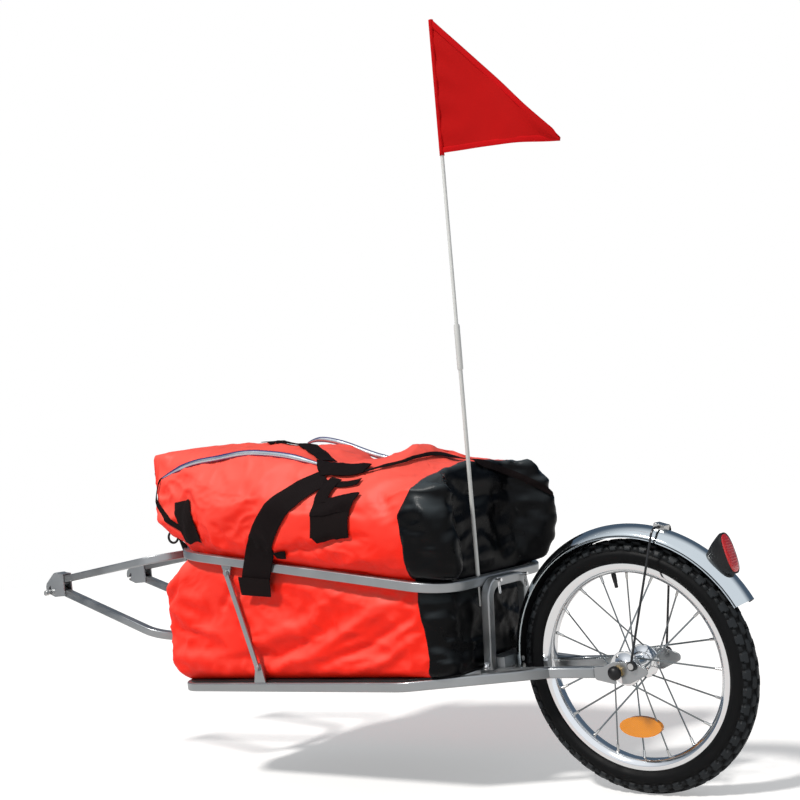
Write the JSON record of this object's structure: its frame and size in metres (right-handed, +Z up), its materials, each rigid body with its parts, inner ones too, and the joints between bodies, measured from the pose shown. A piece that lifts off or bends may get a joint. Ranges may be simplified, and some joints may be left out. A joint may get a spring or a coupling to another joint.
{
  "type": "single wheel bicycle trailer",
  "caption": "Touring trailer with a steered yoke to the bicycle's axle, a tubular basket frame holding a luggage bag, one spoked wheel with a fender, and a safety flag.",
  "frame": {"origin": "middle of the bicycle's rear axle, halfway between the two hitch brackets", "axes": "+X backwards along the trailer, +Y to the trailer's right, +Z up"},
  "size_m": [1.6175, 0.368, 1.3049],
  "materials": {
    "silver_tube": "satin",
    "chrome_part": "polished",
    "steel_part": "satin",
    "brass_part": "satin",
    "black_plastic": "satin",
    "black_fabric": "coated",
    "red_fabric": "coated",
    "flag_fabric": "matte",
    "tyre_rubber": "matte",
    "pole_white": "gloss",
    "amber_lens": "gloss",
    "red_lens": "gloss"
  },
  "bodies": {
    "yoke": {"head_tube": "silver_tube", "head_bush_upper": "black_plastic", "head_bush_lower": "black_plastic", "yoke_upper_hoop": "silver_tube", "yoke_lower_hoop": "silver_tube", "hitch_bracket_left": "silver_tube", "hitch_bracket_right": "silver_tube"},
    "hitch_pin_left_body": {"hitch_pin_left": "steel_part"},
    "hitch_pin_right_body": {"hitch_pin_right": "steel_part"},
    "frame": {"head_lug_upper": "silver_tube", "head_lug_lower": "silver_tube", "steering_bolt": "steel_part", "steering_nut": "steel_part", "lower_loop": "silver_tube", "lower_cross_tube": "silver_tube", "upper_loop": "silver_tube", "rear_hoop": "silver_tube", "hoop_bridge": "silver_tube", "floor_panel": "black_fabric", "fender_bolt_lower": "steel_part", "fender_bolt_upper": "steel_part", "stay_left": "silver_tube", "stay_right": "silver_tube", "dropout_left": "silver_tube", "dropout_right": "silver_tube", "hoop_bolt_left": "chrome_part", "hoop_bolt_right": "chrome_part", "loop_pin_left": "chrome_part", "loop_pin_right": "chrome_part", "strut_left": "silver_tube", "strut_right": "silver_tube", "strut_bracket_upper_left": "silver_tube", "strut_bracket_upper_right": "silver_tube", "strut_bracket_lower_left": "silver_tube", "strut_bracket_lower_right": "silver_tube", "fender": "chrome_part", "fender_stay": "chrome_part", "fender_clamp": "steel_part", "tail_reflector_housing": "black_plastic", "tail_reflector_lens": "red_lens", "eyelet_bolt_left": "brass_part", "eyelet_bolt_right": "brass_part", "axle": "steel_part", "axle_nut_left": "brass_part", "axle_nut_right": "brass_part", "axle_cap_left": "black_plastic", "axle_cap_right": "black_plastic", "bag": "red_fabric"},
    "wheel": {"tyre": "tyre_rubber", "rim": "chrome_part", "hub_and_spokes": "chrome_part", "valve": "black_plastic", "spoke_reflector": "amber_lens"},
    "flag_pole": {"flag_pole_lower": "pole_white", "flag_pole_ferrule": "pole_white", "flag_pole_upper": "pole_white"},
    "flag_cloth": {"flag": "flag_fabric"}
  },
  "joints": [
    {"name": "steering", "type": "hinge", "parent": "yoke", "child": "frame", "pos_m": [0.42, 0, -0.07], "axis": [0, 0, 1], "range_deg": [-40, 40]},
    {"name": "wheel_spin", "type": "hinge", "parent": "frame", "child": "wheel", "pos_m": [1.396, 0, -0.215], "axis": [0, 1, 0], "continuous": true},
    {"name": "hitch_pin_left_slide", "type": "slide", "parent": "yoke", "child": "hitch_pin_left_body", "axis": [0, -1, 0], "range_m": [0, 0.0226]},
    {"name": "hitch_pin_right_slide", "type": "slide", "parent": "yoke", "child": "hitch_pin_right_body", "axis": [0, 1, 0], "range_m": [0, 0.0226]},
    {"name": "flag_pole_lift", "type": "slide", "parent": "frame", "child": "flag_pole", "axis": [0.0678, 0, 0.9977], "range_m": [0, 0.045]},
    {"name": "flag_swivel", "type": "hinge", "parent": "flag_pole", "child": "flag_cloth", "pos_m": [1.16001, -0.055, -0.05424], "axis": [0.0678, 0, 0.9977], "continuous": true}
  ]
}
